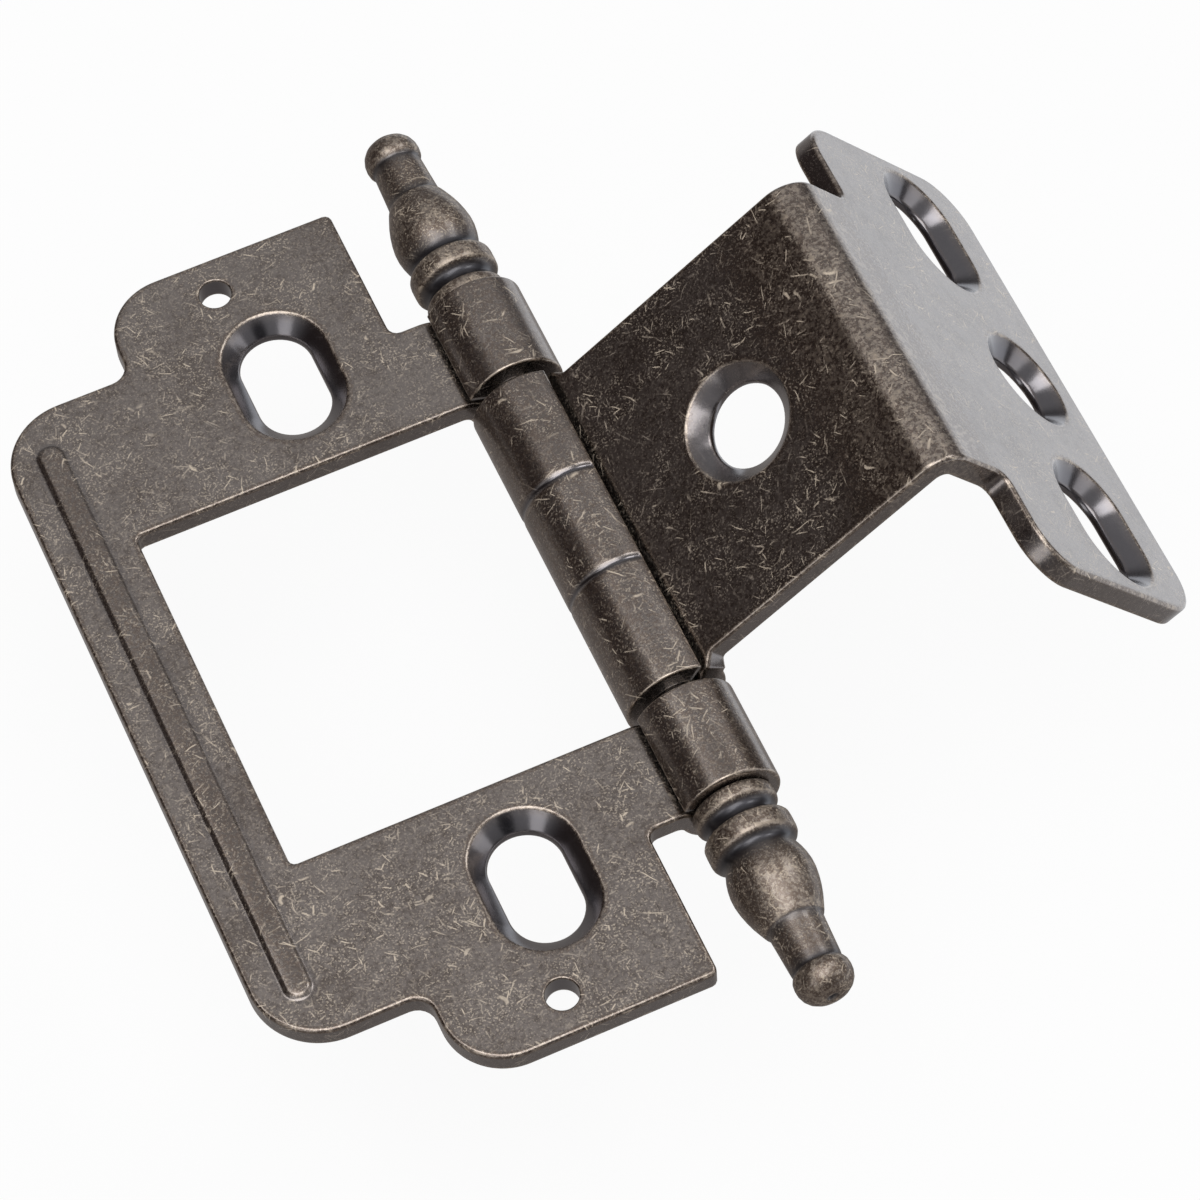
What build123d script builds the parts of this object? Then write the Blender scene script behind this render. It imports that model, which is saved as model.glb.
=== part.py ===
from build123d import *
from math import asin, atan2, cos, degrees, hypot, pi, radians, sin, sqrt
import os

# Full inset hinge: a flat frame leaf, an L shaped door leaf that wraps the edge of the
# door, one steel pin and two turned finials.
# Millimetres. Origin: centre of the frame leaf's screw pattern, on its back face.
# X runs from the frame leaf towards the door leaf, Y along the pin, Z out of the back face.

# Sheet and barrel
SHEET_T = 1.7
BARREL_R = 3.5
REVERSE_BEND_R = 1.6
ROLL_END_DEG = 26.0
PIN_R = 1.75

# Pin axis seen from the origin
PIN_X = 13.54
PIN_Z = SHEET_T / 2

# Frame leaf, distances measured from the pin axis
LEAF_REACH = 32.9
LEAF_HALF_H = 25.32
LEAF_CORNER_R = 4.8
TAB_HALF_H = 31.75
TAB_NEAR = 5.83
TAB_FAR = 22.85
TAB_ROUND_R = 4.2
TAB_CORNER_R = 0.5
TAB_FOOT_R = 1.3
NOTCH_Y = 20.8
NOTCH_R = 0.7
WINDOW_REACH = 27.1
WINDOW_HALF_H = 13.4
WINDOW_R = 0.45

# Screw slots of the frame leaf, long along the pin
SLOT_Y = 20.86
SLOT_HALF_L = 4.05
SLOT_HALF_W = 2.5
SINK_DEPTH = 1.17
PEG_X = 15.27
PEG_Y = 28.96
PEG_R = 1.1

# Pressed bead beside the outer edge
BEAD_X = 29.95
BEAD_HALF_L = 22.4
BEAD_HALF_W = 0.95
BEAD_RISE = 0.25
BEAD_HOLLOW = 0.2

# Door leaf, measured from the pin axis
REST_DEG = 36.53
BARREL_HALF_L = 12.5
GROOVE_Y = (4.3, -3.35)
GROOVE_HALF_W = 0.3
GROOVE_DEPTH = 0.14
GROOVE_START_DEG = 10
PANEL_HALF_H = 11.75
FLANGE_FACE = 24.88
BEND_R = 2.4
FLANGE_DEPTH = 25.75
FLANGE_HALF_H = 19.0
EAR_START = 6.75
EAR_FOOT_R = 0.9
EAR_ROUND_R = 3.3
FLANGE_CORNER_R = 3.8

# Holes of the door leaf
PANEL_HOLE = 13.34
PANEL_HOLE_R = 2.85
MIDDLE_HOLE_IN = 19.74
MIDDLE_HOLE_R = 2.7
END_SLOT_IN = 18.25
END_SLOT_Y = 12.7
END_SLOT_HALF_L = 4.12
END_SLOT_HALF_W = 2.6

# Finials and pin
TENON_R = 1.2
TENON_L = 6.0
KNUCKLE_END = 20.8
FINIAL_TIP = 35.95

# Broken edges of the stamped faces
EDGE_BREAK = 0.2

HALF_T = SHEET_T / 2
BORE_R = BARREL_R - SHEET_T
MID_R = BARREL_R - HALF_T
BEND_OUT = sqrt((REVERSE_BEND_R + MID_R) ** 2 - REVERSE_BEND_R ** 2)


def on_circle(centre_u, centre_v, radius, angle):
    """Point on a circle of the section plane, angle in degrees."""
    a = radians(angle)
    return (centre_u + radius * cos(a), centre_v + radius * sin(a))


def arc_between(centre_u, centre_v, radius, start, end):
    """Arc edge of the section plane from one angle to another."""
    return ThreePointArc(
        on_circle(centre_u, centre_v, radius, start),
        on_circle(centre_u, centre_v, radius, (start + end) / 2),
        on_circle(centre_u, centre_v, radius, end),
    )


def rolled_section(flat_from):
    """Face of the sheet rolled round the pin, with the flat part towards minus u."""
    lean = degrees(atan2(REVERSE_BEND_R, BEND_OUT))
    start = 180 + lean
    end = 540 - ROLL_END_DEG
    low = arc_between(-BEND_OUT, -REVERSE_BEND_R, REVERSE_BEND_R - HALF_T, 90, lean)
    outside = arc_between(0, 0, BARREL_R, start, end)
    cut = Line(outside @ 1, on_circle(0, 0, BORE_R, end))
    inside = arc_between(0, 0, BORE_R, end, start)
    high = arc_between(-BEND_OUT, -REVERSE_BEND_R, REVERSE_BEND_R + HALF_T, lean, 90)
    top = Line(high @ 1, (-flat_from, HALF_T))
    edge = Line((-flat_from, HALF_T), (-flat_from, -HALF_T))
    bottom = Line((-flat_from, -HALF_T), low @ 0)
    return make_face([low, outside, cut, inside, high, top, edge, bottom])


def rolled_tube(y_from, y_to, flat_from):
    """Rolled length of sheet between two stations of the pin."""
    face = Plane.XZ * rolled_section(flat_from)
    tube = extrude(face, amount=y_to - y_from, dir=(0, 1, 0))
    return Pos(0, y_from, 0) * tube


def stadium_prism(half_l, half_w, depth, taper=0.0):
    """Slot shaped or round prism that goes down from z = 0, long along Y."""
    if half_l - half_w < 0.01:
        outline = Circle(half_w)
    else:
        outline = Rot(0, 0, 90) * SlotOverall(2 * half_l, 2 * half_w)
    return extrude(outline, amount=-depth, taper=taper)


def sunk_hole(half_l, half_w):
    """Tool body of a countersunk hole whose outer rim lies in z = 0."""
    rim = stadium_prism(half_l + SINK_DEPTH, half_w + SINK_DEPTH, SINK_DEPTH + 0.001, taper=45)
    bore = Pos(0, 0, 1) * stadium_prism(half_l, half_w, SHEET_T + 3)
    return rim + bore


def frame_outline():
    """Outline of the flat part of the frame leaf, with its tabs and notches."""
    far = -LEAF_REACH
    end = -BEND_OUT
    body = Rectangle(LEAF_REACH - BEND_OUT, 2 * LEAF_HALF_H)
    body = Pos((far + end) / 2, 0) * body
    body = fillet(body.vertices().group_by(Axis.X)[0], LEAF_CORNER_R)
    corner = Pos(-(TAB_NEAR + BEND_OUT) / 2, 0) * Rectangle(TAB_NEAR - BEND_OUT, 80)
    strap = Pos(-(TAB_NEAR + BEND_OUT) / 2, 0) * Rectangle(TAB_NEAR - BEND_OUT, 2 * NOTCH_Y)
    tab = Pos(-(TAB_NEAR + TAB_FAR) / 2, 0) * Rectangle(TAB_FAR - TAB_NEAR, 2 * TAB_HALF_H)
    tab = fillet(tab.vertices().group_by(Axis.X)[0], TAB_ROUND_R)
    tab = fillet(tab.vertices().group_by(Axis.X)[-1], TAB_CORNER_R)
    outline = (body - corner) + strap + tab
    window = Pos(-WINDOW_REACH / 2, 0) * Rectangle(WINDOW_REACH, 2 * WINDOW_HALF_H)
    window = fillet(window.vertices().group_by(Axis.X)[0], WINDOW_R)
    outline = outline - window
    feet = [v for v in outline.vertices()
            if abs(v.X + TAB_FAR) < 0.01 and abs(abs(v.Y) - LEAF_HALF_H) < 0.01]
    outline = fillet(feet, TAB_FOOT_R)
    inner = [v for v in outline.vertices()
             if abs(v.X + TAB_NEAR) < 0.01 and abs(abs(v.Y) - NOTCH_Y) < 0.01]
    return fillet(inner, NOTCH_R)


def bead(radius, height, half_l):
    """Long round ended bulge whose crown lies at the given height above the face."""
    centre_z = HALF_T + height - radius
    reach = sqrt(radius ** 2 - (radius - height) ** 2)
    straight = half_l - reach
    rod = Rot(90, 0, 0) * Cylinder(radius, 2 * straight)
    caps = Pos(0, straight, 0) * Sphere(radius) + Pos(0, -straight, 0) * Sphere(radius)
    whole = Pos(-BEAD_X, 0, centre_z) * (rod + caps)
    keep = Pos(-BEAD_X, 0, HALF_T + 1.4) * Box(6, 60, 3)
    return whole & keep


def make_frame_leaf():
    """Flat leaf with window, stepped tabs, two screw slots, bead and two knuckles."""
    plate = Pos(0, 0, -HALF_T) * extrude(frame_outline(), amount=SHEET_T)
    rim = plate.edges().filter_by_position(Axis.Z, HALF_T, HALF_T)
    rim = [e for e in rim if e.center().X < -BEND_OUT - 0.01]
    plate = chamfer(rim, EDGE_BREAK)
    radius = (BEAD_HALF_W ** 2 + BEAD_RISE ** 2) / (2 * BEAD_RISE)
    plate = plate + bead(radius, BEAD_RISE, BEAD_HALF_L)
    hollow = bead(radius, BEAD_HOLLOW, BEAD_HALF_L - 0.3)
    plate = plate - Pos(0, 0, -SHEET_T) * hollow
    for side in (1, -1):
        slot = sunk_hole(SLOT_HALF_L, SLOT_HALF_W)
        plate = plate - Pos(-PIN_X, side * SLOT_Y, HALF_T) * slot
        plate = plate - Pos(-PEG_X, side * PEG_Y, 0) * Cylinder(PEG_R, 2 * SHEET_T)
    upper = rolled_tube(WINDOW_HALF_H, KNUCKLE_END, BEND_OUT + 0.4)
    lower = rolled_tube(-KNUCKLE_END, -WINDOW_HALF_H, BEND_OUT + 0.4)
    return Pos(PIN_X, 0, PIN_Z) * (plate + upper + lower)


def flange_outline():
    """Outline of the flange in its own plane, Y up and X towards the bend."""
    near = HALF_T - BEND_R
    far = HALF_T - FLANGE_DEPTH
    ear = HALF_T - EAR_START
    neck = Pos((near + ear) / 2, 0) * Rectangle(near - ear, 2 * PANEL_HALF_H)
    head = Pos((ear + far) / 2, 0) * Rectangle(ear - far, 2 * FLANGE_HALF_H)
    head = fillet(head.vertices().group_by(Axis.X)[0], FLANGE_CORNER_R)
    head = fillet(head.vertices().group_by(Axis.X)[-1], EAR_ROUND_R)
    outline = neck + head
    feet = [v for v in outline.vertices()
            if abs(v.X - ear) < 0.01 and abs(abs(v.Y) - PANEL_HALF_H) < 0.2]
    return fillet(feet, EAR_FOOT_R)


def outer_gap(point):
    """Distance of a point from the outer face of the panel, bend and flange."""
    centre_x = FLANGE_FACE - BEND_R
    centre_z = HALF_T - BEND_R
    if point.X <= centre_x:
        return abs(point.Z - HALF_T)
    if point.Z <= centre_z:
        return abs(point.X - FLANGE_FACE)
    return abs(hypot(point.X - centre_x, point.Z - centre_z) - BEND_R)


def on_outer_rim(edge):
    """Whether an edge bounds the outer face, the free edge of the flange included."""
    if max(outer_gap(edge @ share) for share in (0, 0.5, 1)) > 0.001:
        return False
    middle = edge @ 0.5
    across = abs(middle.Y) < 1
    return not across or abs(middle.Z - HALF_T + FLANGE_DEPTH) < 0.01


def make_panel():
    """Panel, bend and flange of the door leaf, without holes."""
    stop = FLANGE_FACE - BEND_R
    root = BEND_OUT + 0.05
    panel = Pos((root + stop) / 2, 0, 0) * Box(stop - root, 2 * PANEL_HALF_H, SHEET_T)
    outer = arc_between(stop, HALF_T - BEND_R, BEND_R, 90, 0)
    inner = arc_between(stop, HALF_T - BEND_R, BEND_R - SHEET_T, 0, 90)
    quarter = make_face([outer, Line(outer @ 1, inner @ 0), inner, Line(inner @ 1, outer @ 0)])
    half = PANEL_HALF_H
    bend = extrude(Plane.XZ * quarter, amount=2 * half, dir=(0, 1, 0))
    bend = Pos(0, -half, 0) * bend
    flange = extrude(flange_outline(), amount=SHEET_T)
    to_flange = Plane(origin=(FLANGE_FACE, 0, 0), x_dir=(0, 0, 1), z_dir=(-1, 0, 0))
    sheet = panel + bend + to_flange * flange
    return chamfer([e for e in sheet.edges() if on_outer_rim(e)], EDGE_BREAK)


def groove_ring():
    """Ring of V section that cuts a line into the roll, clear of the reverse bend."""
    lean = degrees(atan2(REVERSE_BEND_R, BEND_OUT))
    turn = 360 - ROLL_END_DEG - lean - GROOVE_START_DEG
    tip = (BARREL_R - GROOVE_DEPTH, 0)
    wide = (BARREL_R + GROOVE_DEPTH, 2 * GROOVE_HALF_W)
    section = make_face(Polyline(tip, wide, (wide[0], -wide[1]), tip))
    return Rot(0, ROLL_END_DEG - 180, 0) * revolve(section, Axis.Y, turn)


def make_door_leaf():
    """Rolled barrel with two turned grooves, panel, right angle bend and T flange."""
    tube = rolled_tube(-BARREL_HALF_L, BARREL_HALF_L, BEND_OUT + 0.1)
    for station in GROOVE_Y:
        tube = tube - Pos(0, station, 0) * groove_ring()
    barrel = mirror(tube, about=Plane.YZ)
    leaf = barrel + make_panel()
    sink = Pos(PANEL_HOLE, 0, HALF_T) * sunk_hole(PANEL_HOLE_R, PANEL_HOLE_R)
    leaf = leaf - sink
    holes = [
        (0, MIDDLE_HOLE_IN, MIDDLE_HOLE_R, MIDDLE_HOLE_R),
        (END_SLOT_Y, END_SLOT_IN, END_SLOT_HALF_L, END_SLOT_HALF_W),
        (-END_SLOT_Y, END_SLOT_IN, END_SLOT_HALF_L, END_SLOT_HALF_W),
    ]
    for y, inset, half_l, half_w in holes:
        tool = Rot(0, 90, 0) * Rot(0, 0, 90) * sunk_hole(half_l, half_w)
        leaf = leaf - Pos(FLANGE_FACE, y, HALF_T - inset) * tool
    return Pos(PIN_X, 0, PIN_Z) * Rot(0, -REST_DEG, 0) * leaf


def make_pin():
    """Plain pin with a thinner tenon at each end for the finials."""
    shank = Cylinder(PIN_R, 2 * KNUCKLE_END)
    tenons = Cylinder(TENON_R, 2 * (KNUCKLE_END + TENON_L))
    pin = chamfer((shank + tenons).edges().group_by(Axis.Z)[0], 0.2)
    pin = chamfer(pin.edges().group_by(Axis.Z)[-1], 0.2)
    return Pos(PIN_X, 0, PIN_Z) * Rot(90, 0, 0) * pin


def finial_face():
    """Half profile of a finial, X as the radius and Y along the pin."""
    k = KNUCKLE_END
    collar = Polyline((0, k), (2.6, k), (2.82, k + 0.25), (2.82, k + 0.95), (2.6, k + 1.18))
    groove = Polyline((2.6, k + 1.18), (2.35, k + 1.5), (2.35, k + 1.84), (2.6, k + 2.16))
    ring = Polyline((2.6, k + 2.16), (2.9, k + 2.34), (3.0, k + 2.5), (3.0, k + 3.6), (2.88, k + 3.8),
                    (2.64, k + 3.94))
    neck_groove = Polyline((2.64, k + 3.94), (2.48, k + 4.15), (2.48, k + 4.45), (2.6, k + 4.75))
    belly = ThreePointArc((2.6, k + 4.75), (2.9, k + 6.3), (2.66, k + 7.9))
    shoulder = ThreePointArc((2.66, k + 7.9), (2.4, k + 8.7), (2.04, k + 9.5))
    neck = Polyline((2.04, k + 9.5), (1.9, k + 9.65), (1.74, k + 12.7), (1.68, k + 12.95), (1.84, k + 13.08))
    knob = ThreePointArc((1.84, k + 13.08), (1.97, k + 13.65), (1.8, k + 14.4))
    crown = ThreePointArc((1.8, k + 14.4), (1.3, k + 14.94), (0.45, FINIAL_TIP))
    dimple = Polyline((0.45, FINIAL_TIP), (0.3, FINIAL_TIP - 0.3), (0, FINIAL_TIP - 0.35))
    axis = Line((0, FINIAL_TIP - 0.35), (0, k))
    return make_face([collar, groove, ring, neck_groove, belly, shoulder, neck, knob, crown, dimple, axis])


def make_finial(side):
    """Turned finial pressed on one end of the pin; side is 1 or -1."""
    body = revolve(finial_face(), axis=Axis.Y)
    hole = Pos(0, KNUCKLE_END + TENON_L / 2, 0) * Rot(90, 0, 0) * Cylinder(TENON_R, TENON_L)
    body = body - hole
    if side < 0:
        body = mirror(body, about=Plane.XZ)
    return Pos(PIN_X, 0, PIN_Z) * body


PIECES = {
    "frame_leaf": make_frame_leaf(),
    "door_leaf": make_door_leaf(),
    "hinge_pin": make_pin(),
    "upper_finial": make_finial(1),
    "lower_finial": make_finial(-1),
}

os.makedirs("parts", exist_ok=True)
for name, shape in PIECES.items():
    export_step(shape, f"parts/{name}.step")
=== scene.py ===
import logging
from collections.abc import Sequence
from dataclasses import dataclass, field
from enum import Enum
from functools import reduce
from math import atan2, cos, degrees, pi, radians, sin, sqrt, tan

import bmesh
import bpy
from mathutils import Matrix, Vector


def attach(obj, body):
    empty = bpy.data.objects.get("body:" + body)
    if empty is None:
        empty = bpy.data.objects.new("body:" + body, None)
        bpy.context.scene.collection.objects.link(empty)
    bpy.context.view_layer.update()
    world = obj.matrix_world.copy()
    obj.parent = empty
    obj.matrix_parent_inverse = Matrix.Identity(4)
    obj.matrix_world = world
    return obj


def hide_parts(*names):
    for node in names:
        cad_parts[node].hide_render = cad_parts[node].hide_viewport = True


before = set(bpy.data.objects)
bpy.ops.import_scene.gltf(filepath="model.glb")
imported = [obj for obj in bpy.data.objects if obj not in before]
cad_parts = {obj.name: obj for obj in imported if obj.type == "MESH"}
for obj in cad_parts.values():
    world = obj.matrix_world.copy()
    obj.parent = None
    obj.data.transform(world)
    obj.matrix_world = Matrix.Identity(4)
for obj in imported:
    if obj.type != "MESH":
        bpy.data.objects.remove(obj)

LOG = logging.getLogger("inset_hinge")
MM = 0.001
PIN_AXIS = Vector((13.54, 0.0, 0.85))
SHEET = 1.7
HALF = SHEET / 2
BARREL_R = 3.5
REST_TURN = radians(36.53)
SAME = 1e-4
NEAR = 0.01
CUT_DEG = 5.0
ROLL_WEAR = 0.26
RING_SEGMENTS = 56
RIB_SEGMENTS = 32
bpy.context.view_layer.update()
Colour = tuple[float, float, float, float]
Noise = tuple[float, float, float]
Span = tuple[float, float]
Edge = bmesh.types.BMEdge


class Side(Enum):
    """Which side of the pin a leaf lies on."""

    FRAME = 1
    DOOR = -1


# ---- shader arithmetic


class Sock:
    """One shader output that takes part in Python arithmetic."""

    def __init__(self, graph: "Graph", port: bpy.types.NodeSocket, vector: bool = False) -> None:
        """Wrap an output socket; vector says that sums go through Vector Math."""
        self.graph = graph
        self.port = port
        self.vector = vector

    def _join(self, operation: str, left: object, right: object) -> "Sock":
        """Add the Math or Vector Math node of one operation.

        Args:
            operation: name of the operation.
            left: first value or socket.
            right: second value or socket.

        Returns:
            The result as a socket.
        """
        kind = "VectorMath" if self.vector else "Math"
        sockets = {0: left, 1: right}
        if self.vector and operation == "SCALE":
            sockets = {0: left, "Scale": right}
        return self.graph.node(kind, {"operation": operation}, sockets, vector=self.vector)

    def __add__(self, other: object) -> "Sock":
        """Sum."""
        return self._join("ADD", self, other)

    def __radd__(self, other: object) -> "Sock":
        """Sum with the value first."""
        return self._join("ADD", other, self)

    def __sub__(self, other: object) -> "Sock":
        """Difference."""
        return self._join("SUBTRACT", self, other)

    def __rsub__(self, other: object) -> "Sock":
        """Difference with the value first."""
        return self._join("SUBTRACT", other, self)

    def __mul__(self, other: object) -> "Sock":
        """Product; a vector is scaled by a number."""
        other_vector = isinstance(other, tuple) or (isinstance(other, Sock) and other.vector)
        return self._join("SCALE" if self.vector and not other_vector else "MULTIPLY", self, other)

    def __rmul__(self, other: object) -> "Sock":
        """Product with the value first."""
        return self * other

    def least(self, other: object) -> "Sock":
        """Smaller of two values."""
        return self._join("MINIMUM", self, other)

    def most(self, other: object) -> "Sock":
        """Larger of two values."""
        return self._join("MAXIMUM", self, other)

    def dot(self, other: object) -> "Sock":
        """Dot product of two vectors, as a number."""
        return self.graph.node("VectorMath", {"operation": "DOT_PRODUCT"}, {0: self, 1: other}, out="Value")

    def length(self) -> "Sock":
        """Length of a vector, as a number."""
        return self.graph.node("VectorMath", {"operation": "LENGTH"}, {0: self}, out="Value")

    def unit(self) -> "Sock":
        """Vector of the same direction and length one."""
        return self.graph.node("VectorMath", {"operation": "NORMALIZE"}, {0: self}, vector=True)

    def size(self) -> "Sock":
        """Absolute value."""
        return self._join("ABSOLUTE", self, 0.0)

    def ramp(self, low: float, high: float, to_low: float = 0.0, to_high: float = 1.0) -> "Sock":
        """Smooth step between two values.

        Args:
            low: value that gives to_low.
            high: value that gives to_high.
            to_low: result at the low end.
            to_high: result at the high end.

        Returns:
            The stepped value as a socket.
        """
        return self.graph.node(
            "MapRange",
            {"interpolation_type": "SMOOTHSTEP", "clamp": True},
            {"Value": self, "From Min": low, "From Max": high, "To Min": to_low, "To Max": to_high},
        )


class Graph:
    """Node tree of one material or of the world."""

    def __init__(self, tree: bpy.types.NodeTree) -> None:
        """Take the tree and clear it."""
        self.tree = tree
        tree.nodes.clear()

    def node(
        self,
        kind: str,
        settings: dict[str, object] | None = None,
        sockets: dict[object, object] | None = None,
        out: object = 0,
        vector: bool = False,
    ) -> Sock:
        """Add any node.

        Args:
            kind: type name of the node, after ShaderNode.
            settings: properties, set before the sockets.
            sockets: values or links of the inputs, by name or index.
            out: name or index of the output that is returned.
            vector: whether the output is used as a vector.

        Returns:
            The output as a socket.
        """
        new = self.tree.nodes.new("ShaderNode" + kind)
        for name, value in (settings or {}).items():
            setattr(new, name, value)
        for name, value in (sockets or {}).items():
            if isinstance(value, Sock):
                self.tree.links.new(value.port, new.inputs[name])
            else:
                new.inputs[name].default_value = value
        port = new.outputs[out] if len(new.outputs) else None
        return Sock(self, port, vector)

    def place(self) -> Sock:
        """Object coordinates in millimetres."""
        spot = self.node("TexCoord", out="Object", vector=True)
        return spot * (1.0 / MM)

    def noise(self, where: Sock, scale: float, detail: float = 2.0, rough: float = 0.5) -> Sock:
        """Cloudy value from 0 to 1 at a scale per millimetre."""
        sockets = {"Vector": where, "Scale": scale, "Detail": detail, "Roughness": rough}
        return self.node("TexNoise", {}, sockets)

    def drift(self, where: Sock, scale: float, reach: float) -> Sock:
        """Coordinates moved about by a soft noise of that reach, in millimetres."""
        sockets = {"Vector": where, "Scale": scale, "Detail": 1.0}
        cloud = self.node("TexNoise", {}, sockets, out="Color", vector=True)
        return where + (cloud - (0.5, 0.5, 0.5)) * (2 * reach)

    def attribute(self, name: str) -> Sock:
        """Number stored on the vertices of the piece."""
        return self.node("Attribute", {"attribute_name": name}, out="Fac")

    def tint(self, first: object, second: object, share: object) -> Sock:
        """Mix two colours.

        Args:
            first: colour at a share of 0.
            second: colour at a share of 1.
            share: how much of the second.

        Returns:
            The mixed colour.
        """
        settings = {"data_type": "RGBA", "blend_type": "MIX", "clamp_factor": True}
        return self.node("Mix", settings, {0: share, 6: first, 7: second}, out=2)


def new_material(name: str) -> tuple[bpy.types.Material, Graph]:
    """Material of that name, with its cleared nodes."""
    material = bpy.data.materials.new(name)
    material.use_nodes = True
    return material, Graph(material.node_tree)


def rgb(red: float, green: float, blue: float) -> Colour:
    """Linear colour with full alpha."""
    return (red, green, blue, 1.0)


# ---- finishes


@dataclass(frozen=True)
class Scratches:
    """One layer of fine curved scratches, a random cut in each cell of a cell pattern.

    Args:
        cell: size of the cells, in millimetres.
        width: width of a scratch, in millimetres.
        share: share of the cells that have one.
        shift: offset that sets this layer apart from the others.
    """

    cell: float
    width: float
    share: float
    shift: float
    bend: float = 0.22
    ends: Span = (0.30, 0.52)
    odds: tuple[float, float, float] = (0.6, 1.1, 1.3)
    best: float = 3.0
    fade: float = 0.9

    def mask(self, graph: Graph, where: Sock) -> Sock:
        """Build the layer.

        Args:
            graph: the material's nodes.
            where: coordinates in millimetres.

        Returns:
            1 on a scratch and 0 beside it.
        """
        scaled = (where + (self.shift, self.shift * 0.7, -self.shift)) * (1.0 / self.cell)
        sockets = {"Vector": scaled, "Scale": 1.0}
        cells = graph.node("TexVoronoi", {"feature": "F1"}, sockets, "Color", True)
        source = cells.port.node
        centre = Sock(graph, source.outputs["Position"], True)
        reach = Sock(graph, source.outputs["Distance"])
        offset = scaled - centre
        across = (cells - (0.5, 0.5, 0.5)).unit()
        bow = offset.dot(cells - (0.2, 0.5, 0.8))
        line = (offset.dot(across) + bow * bow * self.bend).size()
        wide = self.width / self.cell
        cut = line.ramp(wide * 0.35, wide, 1.0, 0.0)
        ends = reach.ramp(*self.ends, 1.0, 0.0)
        needed = self.best * (1 - self.share)
        chosen = cells.dot(self.odds).ramp(needed, needed + self.fade)
        return cut * ends * chosen


@dataclass(frozen=True)
class Rub:
    """Line along Y round which handling has rubbed the finish, in millimetres of the frame."""

    line: Vector
    inner: float
    outer: float
    amount: float
    hollow: Span = (1.4, 0.6)

    def wear(self, where: Sock) -> Sock:
        """Wear at a place, falling off outwards and on the hollow side."""
        off = ((where - tuple(self.line)) * (1.0, 0.0, 1.0)).length()
        outside = off.ramp(self.inner, self.outer, self.amount, 0.0)
        return outside * off.ramp(*(self.inner - step for step in self.hollow))


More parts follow.
